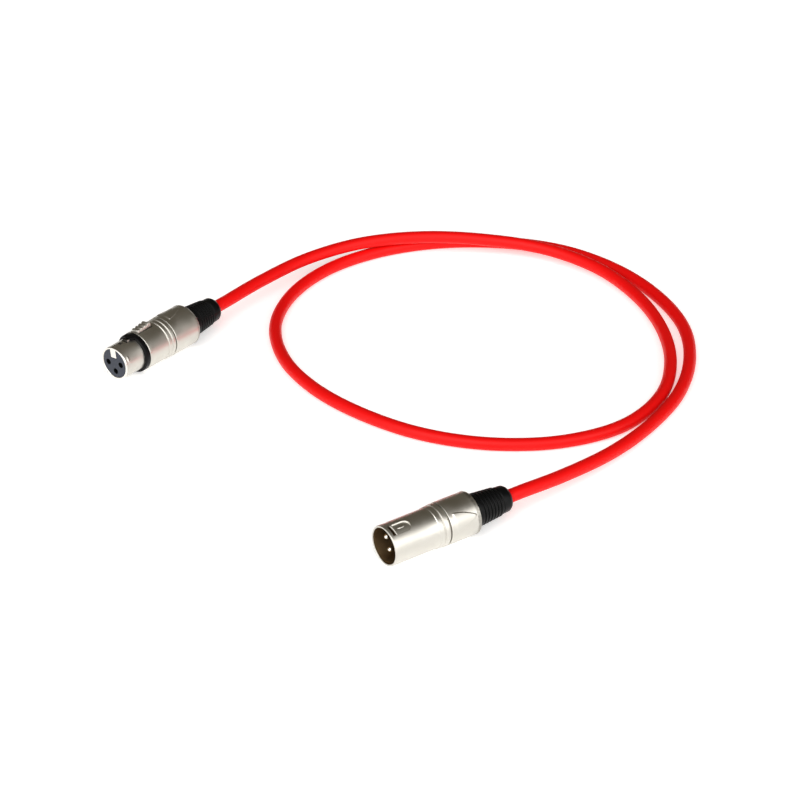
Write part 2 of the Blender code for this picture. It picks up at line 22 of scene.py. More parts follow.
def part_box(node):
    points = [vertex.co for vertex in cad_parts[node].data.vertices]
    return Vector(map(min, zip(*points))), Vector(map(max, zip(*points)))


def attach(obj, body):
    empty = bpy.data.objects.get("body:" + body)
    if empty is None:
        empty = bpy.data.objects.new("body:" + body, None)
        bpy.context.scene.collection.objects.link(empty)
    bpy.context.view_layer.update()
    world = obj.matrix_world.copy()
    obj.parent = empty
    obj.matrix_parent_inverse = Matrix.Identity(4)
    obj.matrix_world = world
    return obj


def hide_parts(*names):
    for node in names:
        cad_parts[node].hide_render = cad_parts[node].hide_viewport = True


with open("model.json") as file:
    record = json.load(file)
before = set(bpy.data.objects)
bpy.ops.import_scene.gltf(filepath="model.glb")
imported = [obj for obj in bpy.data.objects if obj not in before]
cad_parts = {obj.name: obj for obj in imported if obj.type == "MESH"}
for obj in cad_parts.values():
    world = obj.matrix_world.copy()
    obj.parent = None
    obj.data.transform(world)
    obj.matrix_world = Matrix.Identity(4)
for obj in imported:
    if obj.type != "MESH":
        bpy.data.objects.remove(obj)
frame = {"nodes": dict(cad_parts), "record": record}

LOG = logging.getLogger("microphone_cable")
MM = 0.001
WELD = 0.0005 * MM
"""Distance under which two corners of a turned piece are one."""
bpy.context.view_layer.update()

Outline = Sequence[tuple[float, float, float]]
"""Corners of a turned profile: station, radius and fillet, in millimetres."""


class Body(Enum):
    """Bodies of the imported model."""

    CABLE = "cable_and_plugs"
    LATCH = "latch_lever"


class Slot(Enum):
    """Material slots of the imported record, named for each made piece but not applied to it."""

    SATIN_NICKEL = "satin_nickel"
    BRIGHT_NICKEL = "bright_nickel"
    SILVER_CONTACT = "silver_contact"
    BLACK_RUBBER = "black_rubber"
    BLACK_PLASTIC = "black_plastic"
    SLATE_PLASTIC = "slate_plastic"
    RED_PVC = "red_pvc"


class Axis(Enum):
    """Axis that a profile is turned about."""

    ALONG = "X"
    ACROSS = "Y"


class Heading(Enum):
    """Heading of each plug's axis about Z, in degrees."""

    MALE = 0.0
    FEMALE = 15.1


# --- finishes ---


class NodeDesk:
    """Short hand for the nodes of one material."""

    def __init__(self, name: str) -> None:
        """Starts a material with its Principled shader.

        Args:
            name: Name of the material.
        """
        self.material = bpy.data.materials.new(name)
        self.material.use_nodes = True
        self.tree = self.material.node_tree
        self.shader = self.tree.nodes["Principled BSDF"]

    def node(self, kind: str, **inputs: object) -> bpy.types.Node:
        """Adds a node and sets its named inputs.

        Args:
            kind: Blender's node type.
            **inputs: Input values, with spaces in names written as underscores.

        Returns:
            The new node.
        """
        made = self.tree.nodes.new(kind)
        for key, value in inputs.items():
            made.inputs[key.replace("_", " ")].default_value = value
        return made

    def link(self, source: bpy.types.NodeSocket, target: bpy.types.NodeSocket) -> None:
        """Joins two sockets.

        Args:
            source: Output that gives the value.
            target: Input that takes it.
        """
        self.tree.links.new(source, target)

    def place(self, scale: tuple[float, float, float], turn: float = 0.0) -> bpy.types.NodeSocket:
        """Object coordinates, turned about Z and scaled.

        Args:
            scale: Scale along each axis.
            turn: Turn about Z in degrees, so that a pattern follows a plug's axis.

        Returns:
            The vector socket.
        """
        source = self.node("ShaderNodeTexCoord")
        turned_to = self.node("ShaderNodeMapping", Rotation=(0.0, 0.0, math.radians(-turn)))
        sized = self.node("ShaderNodeMapping", Scale=scale)
        self.link(source.outputs["Object"], turned_to.inputs["Vector"])
        self.link(turned_to.outputs["Vector"], sized.inputs["Vector"])
        return sized.outputs["Vector"]

    def noise(self, vector: bpy.types.NodeSocket, scale: float, detail: float = 3.0) -> bpy.types.NodeSocket:
        """Fractal noise on a vector.

        Args:
            vector: Coordinates.
            scale: Cells per unit of the coordinates.
            detail: Octaves.

        Returns:
            The factor socket.
        """
        made = self.node("ShaderNodeTexNoise", Scale=scale, Detail=detail)
        self.link(vector, made.inputs["Vector"])
        return made.outputs["Fac"]

    def spread(self, factor: bpy.types.NodeSocket, low: float, high: float) -> bpy.types.NodeSocket:
        """Maps the middle of a noise to a range of values.

        Args:
            factor: Noise between 0 and 1.
            low: Value at 0.3.
            high: Value at 0.7.

        Returns:
            The result socket.
        """
        made = self.node("ShaderNodeMapRange", From_Min=0.3, From_Max=0.7, To_Min=low, To_Max=high)
        self.link(factor, made.inputs["Value"])
        return made.outputs["Result"]

    def blend(self, factor: bpy.types.NodeSocket, first: Sequence[float],
              second: Sequence[float]) -> bpy.types.NodeSocket:
        """Mixes two colours.

        Args:
            factor: Share of the second colour.
            first: Colour at 0.
            second: Colour at 1.

        Returns:
            The colour socket.
        """
        made = self.node("ShaderNodeMix")
        made.data_type = "RGBA"
        colours = [socket for socket in made.inputs if socket.type == "RGBA"]
        colours[0].default_value = (*first, 1.0)
        colours[1].default_value = (*second, 1.0)
        self.link(factor, made.inputs["Factor"])
        return next(socket for socket in made.outputs if socket.type == "RGBA")

    def bump(self, heights: Iterable[tuple[bpy.types.NodeSocket, float]]) -> None:
        """Stacks bumps and feeds them to the shader.

        Args:
            heights: Height sockets and how deep each is, in millimetres.
        """
        normal = None
        for height, depth in heights:
            made = self.node("ShaderNodeBump", Strength=1.0, Distance=depth * MM)
            self.link(height, made.inputs["Height"])
            if normal is not None:
                self.link(normal, made.inputs["Normal"])
            normal = made.outputs["Normal"]
        if normal is not None:
            self.link(normal, self.shader.inputs["Normal"])

    def set(self, **values: object) -> None:
        """Sets constants on the shader's own sockets.

        Args:
            **values: Input values, with spaces in names written as underscores.
        """
        for key, value in values.items():
            self.shader.inputs[key.replace("_", " ")].default_value = value


@dataclass(frozen=True)
class PlatedMetal:
    """Nickel or silver plate over a casting: satin grain, soft smudges and fine handling lines."""

    name: str
    light: tuple[float, float, float]
    dark: tuple[float, float, float]
    roughness: tuple[float, float]
    grain_depth: float = 0.004
    turn: float = 0.0

    def build(self) -> bpy.types.Material:
        """Makes the material.

        Returns:
            The material.
        """
        desk = NodeDesk(self.name)
        even = desk.place((1.0, 1.0, 1.0), self.turn)
        drawn = desk.place((60.0, 900.0, 900.0), self.turn)
        smudge = desk.noise(even, 140.0, 4.0)
        grain = desk.noise(even, 5200.0, 2.0)
        lines = desk.noise(drawn, 3.0, 3.0)
        desk.link(desk.blend(smudge, self.dark, self.light), desk.shader.inputs["Base Color"])
        low, high = self.roughness
        desk.link(desk.spread(smudge, high, low), desk.shader.inputs["Roughness"])
        desk.bump(((lines, self.grain_depth * 0.7), (grain, self.grain_depth)))
        desk.set(Metallic=1.0)
        return desk.material


@dataclass(frozen=True)
class MouldedPart:
    """Moulded rubber or plastic: fine spark-eroded grain and slight sheen variation."""

    name: str
    colour: tuple[float, float, float]
    worn: tuple[float, float, float]
    roughness: tuple[float, float]
    grain_scale: float = 3200.0
    grain_depth: float = 0.012
    gloss: float = 0.3

    def build(self) -> bpy.types.Material:
        """Makes the material.

        Returns:
            The material.
        """
        desk = NodeDesk(self.name)
        even = desk.place((1.0, 1.0, 1.0))
        cloud = desk.noise(even, 220.0, 4.0)
        grain = desk.noise(even, self.grain_scale, 2.0)
        desk.link(desk.blend(cloud, self.colour, self.worn), desk.shader.inputs["Base Color"])
        low, high = self.roughness
        desk.link(desk.spread(cloud, low, high), desk.shader.inputs["Roughness"])
        desk.bump(((grain, self.grain_depth),))
        desk.set(Specular_IOR_Level=self.gloss)
        return desk.material


@dataclass(frozen=True)
class JacketPvc:
    """Flexible extruded PVC: saturated colour, faint draw lines and the soft lay of the cores below."""

    name: str
    colour: tuple[float, float, float]
    deep: tuple[float, float, float]
    roughness: tuple[float, float]

    def build(self) -> bpy.types.Material:
        """Makes the material, whose pattern follows the cable's own UV map.

        Returns:
            The material.
        """
        desk = NodeDesk(self.name)
        along = desk.node("ShaderNodeUVMap")
        along.uv_map = "along_jacket"
        drawn = desk.node("ShaderNodeMapping", Scale=(12.0, 40.0, 1.0))
        desk.link(along.outputs["UV"], drawn.inputs["Vector"])
        even = desk.place((1.0, 1.0, 1.0))
        cloud = desk.noise(even, 90.0, 3.0)
        matt = desk.noise(even, 2600.0, 2.0)
        lines = desk.noise(drawn.outputs["Vector"], 4.0, 3.0)
        desk.link(desk.blend(cloud, self.deep, self.colour), desk.shader.inputs["Base Color"])
        low, high = self.roughness
        desk.link(desk.spread(lines, low, high), desk.shader.inputs["Roughness"])
        desk.bump(((lines, 0.012), (matt, 0.006)))
        desk.set(Specular_IOR_Level=0.17)
        return desk.material


SATIN = ((0.66, 0.64, 0.59), (0.58, 0.56, 0.51), (0.31, 0.41))
"""Light tone, dark tone and roughness of the satin plate."""


class Finish(Enum):
    """Every finish of the cable and its plugs."""

    NICKEL = PlatedMetal("satin_nickel", *SATIN)
    NICKEL_TURNED = PlatedMetal("satin_nickel_female", *SATIN, turn=Heading.FEMALE.value)
    # Brighter, smoother nickel for the female's thin front rim: the brighter tone is a painted highlight on
    # the edge.
    RIM_HIGHLIGHT = PlatedMetal("bright_nickel", (0.90, 0.88, 0.83), (0.82, 0.79, 0.73), (0.14, 0.22), 0.002)
    # Darker, browner plate for the inside of the male tube: painted shade of the deep bore, the same nickel
    # in truth.
    BORE = PlatedMetal("bore_painted_shade", (0.44, 0.31, 0.17), (0.30, 0.20, 0.10), (0.34, 0.46), 0.006)
    SILVER = PlatedMetal("silver_contact", (0.93, 0.91, 0.86), (0.82, 0.79, 0.72), (0.14, 0.24), 0.002)
    STEEL = PlatedMetal("spring_steel", (0.60, 0.59, 0.57), (0.48, 0.47, 0.45), (0.3, 0.4))
    # Near-black plate for the latch arm: painted shade of the arm lying down in its slot, the same metal as
    # the tab in truth.
    ARM_SHADE = PlatedMetal("arm_painted_shade", (0.10, 0.095, 0.085), (0.05, 0.047, 0.042), (0.3, 0.4))
    RUBBER = MouldedPart("black_rubber", (0.0018, 0.0019, 0.0021), (0.0036, 0.0037, 0.004), (0.30, 0.40),
                         2600.0, 0.015, 0.14)
    BLACK = MouldedPart("black_plastic", (0.0025, 0.0025, 0.0028), (0.005, 0.005, 0.0055), (0.28, 0.38),
                        3600.0, 0.008, 0.12)
    SLATE = MouldedPart("slate_plastic", (0.040, 0.045, 0.058), (0.050, 0.055, 0.070), (0.42, 0.55),
                        4200.0, 0.010, 0.15)
    CLAMP = MouldedPart("clamp_plastic", (0.70, 0.70, 0.68), (0.78, 0.78, 0.75), (0.4, 0.5))
    JACKET = JacketPvc("red_pvc", (0.76, 0.0035, 0.0032), (0.71, 0.0028, 0.0026), (0.38, 0.50))
    WHITE_CORE = MouldedPart("white_core", (0.82, 0.82, 0.79), (0.88, 0.88, 0.85), (0.35, 0.45))
    BLUE_CORE = MouldedPart("blue_core", (0.03, 0.11, 0.52), (0.04, 0.15, 0.60), (0.35, 0.45))
    COPPER = PlatedMetal("tinned_copper", (0.78, 0.66, 0.54), (0.66, 0.54, 0.43), (0.3, 0.42), 0.02)


Rack = dict[Finish, bpy.types.Material]
"""The material of every finish."""


# --- bench tools ---


def rounded(corners: Outline, steps: int = 4) -> list[tuple[float, float]]:
    """Rounds the corners of a closed profile with arcs.

    Args:
        corners: Station, radius and fillet of every corner.
        steps: Segments in each arc.

    Returns:
        Points of the profile, in order.
    """
    points: list[tuple[float, float]] = []
    count = len(corners)
    for index, (station, radius, fillet) in enumerate(corners):
        here = Vector((station, radius))
        if fillet <= 0:
            points.append((station, radius))
            continue
        back = Vector(corners[(index - 1) % count][:2]) - here
        ahead = Vector(corners[(index + 1) % count][:2]) - here
        half = back.angle(ahead) / 2
        reach = min(fillet / math.tan(half), back.length * 0.48, ahead.length * 0.48)
        start, end = here + back.normalized() * reach, here + ahead.normalized() * reach
        for step in range(steps + 1):
            share = step / steps
            bend = (1 - share) ** 2 * start + 2 * share * (1 - share) * here + share**2 * end
            points.append((bend.x, bend.y))
    return points


def stations(start: float, end: float, pitch: float, radius: float) -> list[tuple[float, float, float]]:
    """Corners along a straight stretch, so that a shape can be pressed into it.

    Args:
        start: First station.
        end: Last station.
        pitch: Distance between corners.
        radius: Radius of the stretch.

    Returns:
        Corners without fillets.
    """
    count = max(1, round((end - start) / pitch))
    return [(start + (end - start) * step / count, radius, 0.0) for step in range(count + 1)]


def turned(corners: Outline, sides: int, axis: Axis = Axis.ALONG, closed: bool = True) -> bmesh.types.BMesh:
    """Turns a profile into a solid of revolution.

    Args:
        corners: Profile in millimetres; a profile that starts and ends on the axis is left open there.
        sides: Steps of a full turn.
        axis: Axis of the turn.
        closed: Whether the profile's last corner joins its first.

    Returns:
        The bmesh, in metres.
    """
    bm = bmesh.new()
    along = axis is Axis.ALONG
    points = []
    for station, radius in rounded(corners):
        x, y = (station, 0) if along else (0, station)
        points.append(bm.verts.new((x * MM, y * MM, radius * MM)))
    edges = [bm.edges.new(pair) for pair in zip(points, points[1:])]
    if closed:
        edges.append(bm.edges.new((points[-1], points[0])))
    bmesh.ops.spin(bm, geom=points + edges, cent=(0, 0, 0), axis=(1, 0, 0) if along else (0, 1, 0),
                   angle=2 * math.pi, steps=sides, use_merge=True)
    bmesh.ops.remove_doubles(bm, verts=bm.verts, dist=WELD)
    bmesh.ops.recalc_face_normals(bm, faces=bm.faces)
    return bm


def press(bm: bmesh.types.BMesh, wall: float, depth: Callable[[float, float], float]) -> None:
    """Presses a shape into the outer wall of a turned shell.

    Args:
        bm: The shell, turned about X.
        wall: Least radius of what counts as the outer wall, in millimetres.
        depth: Depth in millimetres at a station and an angle from +Z towards -Y, in degrees.
    """
    for vert in bm.verts:
        radius = math.hypot(vert.co.y, vert.co.z)
        if radius < wall * MM:
            continue
        angle = math.degrees(math.atan2(-vert.co.y, vert.co.z))
        sunk = depth(vert.co.x / MM, angle)
        if sunk:
            share = (radius - sunk * MM) / radius
            vert.co.y *= share
            vert.co.z *= share


def refine(bm: bmesh.types.BMesh, inside: Callable[[Vector], bool], cuts: int) -> None:
    """Divides the faces of a region more finely.

    Args:
        bm: The mesh.
        inside: Test of a face's middle.
        cuts: Cuts across every edge.
    """
    faces = [face for face in bm.faces if inside(face.calc_center_median())]
    edges = list({edge for face in faces for edge in face.edges})
    bmesh.ops.subdivide_edges(bm, edges=edges, cuts=cuts, use_grid_fill=True)


def smooth_step(value: float, start: float, end: float) -> float:
    """Eased share of the way between two values.

    Args:
        value: Where it stands.
        start: Value at which the share is 0.
        end: Value at which the share is 1.

    Returns:
        The share, between 0 and 1.
    """
    share = min(1.0, max(0.0, (value - start) / (end - start)))
    return share * share * (3 - 2 * share)


def block(low: Sequence[float], high: Sequence[float], edge: float = 0.0) -> bmesh.types.BMesh:
    """A box between two corners, with its edges eased.

    Args:
        low: Lowest corner in millimetres.
        high: Highest corner in millimetres.
        edge: Width of the eased edges in millimetres.

    Returns:
        The bmesh, in metres.
    """
    bm = bmesh.new()
    bmesh.ops.create_cube(bm, size=1)
    bmesh.ops.scale(bm, vec=(Vector(high) - Vector(low)) * MM, verts=bm.verts)
    bmesh.ops.translate(bm, vec=(Vector(high) + Vector(low)) * MM / 2, verts=bm.verts)
    if edge:
        bmesh.ops.bevel(bm, geom=bm.edges, offset=edge * MM, segments=3, profile=0.5, affect="EDGES",
                        material=-1)
    return bm


def plate(outline: Sequence[tuple[float, float]], half_width: float, edge: float) -> bmesh.types.BMesh:
    """A plate cut to an outline in the XZ plane.

    Args:
        outline: Corners in millimetres.
        half_width: Half of its width along Y.
        edge: Width of its eased edges.

    Returns:
        The bmesh, in metres.
    """
    bm = bmesh.new()
    face = bm.faces.new([bm.verts.new((x * MM, -half_width * MM, z * MM)) for x, z in outline])
    grown = bmesh.ops.extrude_face_region(bm, geom=[face])
    moved = [item for item in grown["geom"] if isinstance(item, bmesh.types.BMVert)]
    bmesh.ops.translate(bm, vec=(0, 2 * half_width * MM, 0), verts=moved)
    bmesh.ops.recalc_face_normals(bm, faces=bm.faces)
    bmesh.ops.bevel(bm, geom=bm.edges, offset=edge * MM, segments=3, profile=0.5, affect="EDGES",
                    material=-1, clamp_overlap=True)
    return bm


def moved(bm: bmesh.types.BMesh, x: float = 0.0, y: float = 0.0, z: float = 0.0) -> bmesh.types.BMesh:
    """Shifts a bmesh.

    Args:
        bm: The bmesh.
        x: Shift in millimetres.
        y: Shift in millimetres.
        z: Shift in millimetres.

    Returns:
        The same bmesh.
    """
    bmesh.ops.translate(bm, vec=(x * MM, y * MM, z * MM), verts=bm.verts)
    return bm


def cut(bm: bmesh.types.BMesh, cutters: Sequence[bmesh.types.BMesh],
        operation: str = "DIFFERENCE") -> bmesh.types.BMesh:
    """Takes cutters out of a solid, or joins them to it.

    Args:
        bm: The solid.
        cutters: Closed shapes.
        operation: DIFFERENCE or UNION.

    Returns:
        The resulting bmesh.
    """
    made = []
    for source in (bm, *cutters):
        mesh = bpy.data.meshes.new("bench")
        source.to_mesh(mesh)
        source.free()
        item = bpy.data.objects.new("bench", mesh)
        bpy.context.scene.collection.objects.link(item)
        made.append(item)
    work = made[0]
    for tool in made[1:]:
        modifier = work.modifiers.new("cut", "BOOLEAN")
        modifier.operation = operation
        modifier.solver = "EXACT"
        modifier.object = tool
    bpy.context.view_layer.update()
    shape = bpy.data.meshes.new_from_object(work.evaluated_get(bpy.context.evaluated_depsgraph_get()))
    result = bmesh.new()
    result.from_mesh(shape)
    for item in made:
        mesh = item.data
        bpy.data.objects.remove(item)
        bpy.data.meshes.remove(mesh)
    bpy.data.meshes.remove(shape)
    return result


def finished(name: str, bm: bmesh.types.BMesh, material: bpy.types.Material, body: Body,
             node: str, matrix: Matrix | None = None, sharp: float = 32.0,
             second: tuple[bpy.types.Material, Callable[[Vector], bool]] | None = None) -> bpy.types.Object:
    """Turns a bmesh into a dressed piece of the object.

    Args:
        name: Name of the piece.
        bm: Its shape, in the frame that matrix places.
        material: Its finish.
        body: Body that it rides on.
        node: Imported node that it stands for.
        matrix: Places the shape in the row frame.
        sharp: Edges over this angle, in degrees, stay sharp.
        second: Another finish and the test of a face's middle that gets it.

    Returns:
        The piece, at the origin.
    """
    mesh = bpy.data.meshes.new(name)
    mesh.materials.append(material)
    if second:
        mesh.materials.append(second[0])
        for face in bm.faces:
            face.material_index = int(second[1](face.calc_center_median()))
    if matrix:
        bm.transform(matrix)
    bm.to_mesh(mesh)
    bm.free()
    mesh.shade_smooth()
    mesh.set_sharp_from_angle(angle=math.radians(sharp))
    piece = bpy.data.objects.new(name, mesh)
    bpy.context.scene.collection.objects.link(piece)
    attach(piece, body.value)
    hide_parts(node)
    LOG.info("%s: %d faces", name, len(mesh.polygons))
    return piece


# --- plugs ---


@dataclass
class Plug:
    """What both plugs share: a frame with +X to the cable and +Z to the latch, and the rear parts."""

    prefix: str
    rack: Rack
    centre: Vector
    heading: float
    roll: float
    seam: float
    sleeve_end: float
    length: float
    sleeve_radius: float
    thread_radius: float
    petal_turn: float
    plate: Finish = Finish.NICKEL
    petal_start: float = 2.3
    petal_reach: float = 12.8
    petal_half_angle: float = 26.0
    petal_rear_height: float = 0.16
    petal_front_rise: float = 0.24
    sleeve_bore: float = 8.25
    thread_reach: float = 4.6
    boot_ribs: int = 6
    jacket_radius: float = 3.2
    gap: float = 0.3
    pole_circle: float = 4.2
    pole_angles: tuple[float, ...] = (0.0, 180.0, 270.0)
    sides: int = 144

    @property
    def matrix(self) -> Matrix:
        """Places the plug's frame in the row frame."""
        spin = Matrix.Rotation(math.radians(self.heading), 4, "Z") @ Matrix.Rotation(
            math.radians(self.roll), 4, "X")
        return Matrix.Translation(self.centre) @ spin

    def node(self, part: str) -> str:
        """Names this plug's node for a part.

        Args:
            part: The part's own name.

        Returns:
            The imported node's name.
        """
        return f"{self.prefix}_{part}"

    def fit(self, name: str, bm: bmesh.types.BMesh, finish: Finish, slot: Slot, part: str,
            sharp: float = 32.0, second: tuple[Finish, Callable[[Vector], bool]] | None = None,
            body: Body = Body.CABLE) -> None:
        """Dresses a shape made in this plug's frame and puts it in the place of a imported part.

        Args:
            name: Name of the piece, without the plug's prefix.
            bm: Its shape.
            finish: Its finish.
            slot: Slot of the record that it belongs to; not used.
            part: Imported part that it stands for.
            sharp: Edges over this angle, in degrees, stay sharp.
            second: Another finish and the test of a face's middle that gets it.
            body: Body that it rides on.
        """
        other = (self.rack[second[0]], second[1]) if second else None
        finished(self.node(name), bm, self.rack[finish], body, self.node(part), self.matrix, sharp,
                 other)

    def pole_centres(self) -> list[tuple[float, float]]:
        """Where the poles stand, across the plug, in millimetres."""
        turns = [math.radians(angle) for angle in self.pole_angles]
        return [(self.pole_circle * math.cos(turn), self.pole_circle * math.sin(turn)) for turn in turns]

    def petal_depth(self, station: float, angle: float) -> float:
        """Relief of the petal-shaped leaf on the sleeve, as a negative depth.

        Args:
            station: Millimetres from the mating face.
            angle: Degrees from the latch side towards -Y.

        Returns:
            Depth in millimetres.
        """
        start = self.seam + self.petal_start
        share = (station - start) / self.petal_reach
        if share < 0 or share > 1:
            return 0.0
        half = self.petal_half_angle * (1 - share**1.7)
        side = smooth_step(half - abs(angle - self.petal_turn), 0.0, 2.4)
        front = smooth_step(station - start, 0.0, 1.1)
        height = self.petal_rear_height + self.petal_front_rise * (1 - share)
        return -height * (side * front) * (1 - smooth_step(share, 0.85, 1.0))

    def rear_sleeve(self) -> None:
        """Rear half of the shell with its petal-shaped leaf."""
        start, end, radius = self.seam + self.gap, self.sleeve_end, self.sleeve_radius
        inner, clear, thread_end = self.sleeve_bore, self.thread_radius + self.gap, start + self.thread_reach
        corners = [(start, clear, 0.1), (start, radius - 0.05, 0.22)]
        corners += stations(start + 0.5, start + 16.0, 0.3, radius)
        corners += [(end - 3.4, radius, 1.5), (end - 1.5, radius - 0.5, 1.6),
                    (end - 0.35, radius - 1.25, 0.7), (end, 8.7, 0.15), (end, inner, 0.1),
                    (thread_end, inner, 0.1), (thread_end, clear, 0.1)]
        bm = turned(corners, self.sides)
        turn = math.radians(self.petal_turn)
        centre = Vector((0, -math.sin(turn), math.cos(turn)))

        def near(point: Vector) -> bool:
            """Whether a face lies on the petal."""
            across = Vector((0, point.y, point.z))
            outside = across.length > (radius - 0.2) * MM
            return outside and start + 0.5 < point.x / MM < start + 15.8 and across.angle(centre) < 0.52

        refine(bm, near, 2)
        press(bm, radius - 0.2, self.petal_depth)
        self.fit("rear_sleeve_shell", bm, self.plate, Slot.SATIN_NICKEL, "rear_sleeve", 40.0)

    def boot(self) -> None:
        """Ribbed rubber strain relief with a smooth collar and a rounded tail."""
        start, end = self.sleeve_end + self.gap, self.length
        bore, first, ribs = self.jacket_radius + 0.12, self.sleeve_end + 3.0, self.boot_ribs
        pitch = (self.length - self.sleeve_end - 9.1) / ribs
        corners = [(start, bore, 0.1), (start, 7.9, 0.3)]
        for rib in range(ribs):
            crest = 7.88 - 0.16 * rib
            at = first + rib * pitch
            corners += [(at - 0.2, crest, 0.28), (at + 0.02, crest - 0.62, 0.14),
                        (at + 0.5, crest - 0.64, 0.14), (at + 0.72, crest - 0.1, 0.28)]
        tail = first + ribs * pitch
        corners += [(tail - 0.2, 6.9, 0.28), (tail, 6.15, 0.14), (tail + 0.65, 6.1, 0.14),
                    (tail + 0.95, 6.4, 0.3), (end - 1.5, 6.2, 0.8), (end - 0.1, 5.3, 0.8),
                    (end, bore + 0.25, 0.2), (end - 0.4, bore, 0.1)]
        bm = turned(corners, 96)
        self.fit("strain_relief", bm, Finish.RUBBER, Slot.BLACK_RUBBER, "boot", 50.0)

    def dress_inner_parts(self) -> None:
        """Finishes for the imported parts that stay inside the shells."""
        finishes = {"chuck": Finish.CLAMP, "gland_nut": Finish.BLACK, "core_hot": Finish.WHITE_CORE,
                    "core_cold": Finish.BLUE_CORE, "shield_lead": Finish.COPPER}
        for part, finish in finishes.items():
            dress(self.node(part), self.rack[finish])


def dress(node: str, material: bpy.types.Material) -> None:
    """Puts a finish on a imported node.

    Args:
        node: The node's name.
        material: Its finish.
    """
    slots = frame["nodes"][node].data.materials
    slots.clear()
    slots.append(material)


@dataclass
class MalePlug(Plug):
    """Plug with three pins in a thin tube."""

    tube_radius: float = 9.5
    bore_radius: float = 8.6
    cavity_depth: float = 14.0
    pin_radius: float = 1.2
    pin_setback: float = 3.1
    pocket_front: float = 3.9
    pocket_length: float = 8.0
    pocket_half_width: float = 3.0
    pocket_floor: float = 0.62
    pocket_edge: float = 0.26
    rib_height: float = 0.26
    rib_station: float = 3.4
    rib_offset: float = 0.2
    rib_half_sizes: tuple[float, float] = (1.7, 0.42)
    insert_rear: float = 23.0
    pin_rear: float = 27.0

    def pocket_depth(self, station: float, angle: float) -> float:
        """Depth of the D-shaped latch pocket, with a low rib across its floor.

        Args:
            station: Millimetres from the mating face.
            angle: Degrees from the latch side towards -Y.

        Returns:
            Depth in millimetres.
        """
        across = math.radians(angle) * self.tube_radius
        half = self.pocket_half_width
        straight = self.pocket_front + self.pocket_length - half
        if station < straight:
            margin = min(station - self.pocket_front, half - abs(across))
        else:
            margin = half - math.hypot(station - straight, across)
        sunk = self.pocket_floor * smooth_step(margin, 0.0, self.pocket_edge)
        along, aside = self.rib_half_sizes
        middle = math.hypot((station - self.pocket_front - self.rib_station) / along,
                            (across + self.rib_offset) / aside)
        return sunk - self.rib_height * smooth_step(1.3 - middle, 0.0, 0.6)

    def front_shell(self) -> None:
        """Thin tube with the latch window, the D-shaped pocket and the stepped rings."""
        outer, bore, seam, depth = self.tube_radius, self.bore_radius, self.seam, self.cavity_depth
        corners = [(0.0, bore + 0.15, 0.12), (0.0, outer - 0.12, 0.18)]
        corners += stations(0.3, 13.2, 0.3, outer)
        corners += [(23.9, outer, 0.2), (24.2, outer + 0.28, 0.2), (26.2, outer + 0.34, 0.22),
                    (26.45, outer + 0.05, 0.12), (26.75, outer + 0.05, 0.12), (27.0, outer + 0.52, 0.2),
                    (29.0, outer + 0.6, 0.25), (29.35, outer + 0.2, 0.15), (seam, outer + 0.15, 0.05),
                    (seam, self.thread_radius, 0.1), (seam + 4.2, self.thread_radius, 0.1),
                    (seam + 4.2, bore, 0.1), (depth - self.gap, bore, 0.0), (depth - 0.4, bore - 0.5, 0.1),
                    (depth - 1.0, bore - 0.5, 0.1), (depth - 1.1, bore, 0.0), (0.15, bore, 0.0)]
        bm = turned(corners, self.sides)
        half = math.radians(26)

        def near(point: Vector) -> bool:
            """Whether a face lies round the pocket."""
            across = Vector((0, point.y, point.z))
            outside = across.length > (outer - 0.2) * MM
            return outside and 3.2 < point.x / MM < 13.0 and across.angle(Vector((0, 0, 1))) < half

        refine(bm, near, 3)
        press(bm, outer - 0.2, self.pocket_depth)
        window = block((1.5, -2.9, 7.0), (3.4, 2.9, 11.0), 0.12)
        bm = cut(bm, [window])
        inside = bore + 0.12

        def dark(point: Vector) -> bool:
            """Whether a face lies in the bore, which is painted a darker brown as shade inside the tube."""
            return math.hypot(point.y, point.z) < inside * MM and point.x > 0.25 * MM

        # The bore's faces take the darker plate, painted shade inside the tube.
        self.fit("shell", bm, self.plate, Slot.SATIN_NICKEL, "front_shell", 40.0, (Finish.BORE, dark))

    def insert(self) -> None:
        """Moulded disc with a shallow recess round every pin."""
        radius, front, rear = self.bore_radius - self.gap, self.cavity_depth, self.insert_rear
        bm = turned([(front, 0.0, 0.0), (front, radius, 0.3), (rear, radius, 0.3), (rear, 0.0, 0.0)],
                    72, closed=False)
        wide, hole = self.pin_radius + 0.75, self.pin_radius + 0.08
        groove = [(front - 1, wide, 0.0), (front - 1, hole, 0.0), (front + 0.35, hole, 0.0),
                  (front + 0.35, wide, 0.0)]
        bores = [(front - 1, 0.0, 0.0), (front - 1, hole, 0.0), (rear + 1, hole, 0.0), (rear + 1, 0.0, 0.0)]
        cutters = []
        for y, z in self.pole_centres():
            cutters.append(moved(turned(groove, 32), y=y, z=z))
            cutters.append(moved(turned(bores, 32, closed=False), y=y, z=z))
        self.fit("pin_carrier", cut(bm, cutters), Finish.SLATE, Slot.SLATE_PLASTIC, "insert")

    def pins(self) -> None:
        """Three round-ended pins with solder cups."""
        r, tip, rear = self.pin_radius, self.pin_setback, self.pin_rear
        dome = [(tip + r * (1 - math.cos(turn)), r * math.sin(turn), 0.0)
                for turn in (math.pi / 2 * step / 10 for step in range(11))]
        corners = dome + [(rear, r, 0.1), (rear, 0.8, 0.1), (rear - 2.5, 0.8, 0.0), (rear - 2.5, 0.0, 0.0)]
        for number, (y, z) in enumerate(self.pole_centres(), start=1):
            bm = moved(turned(corners, 40, closed=False), y=y, z=z)
            self.fit(f"contact_pin_{number}", bm, Finish.SILVER, Slot.SILVER_CONTACT, f"pin_{number}")

    def build(self) -> None:
        """Makes and dresses every piece of the plug."""
        self.front_shell()
        self.rear_sleeve()
        self.insert()
        self.pins()
        self.boot()
        self.dress_inner_parts()


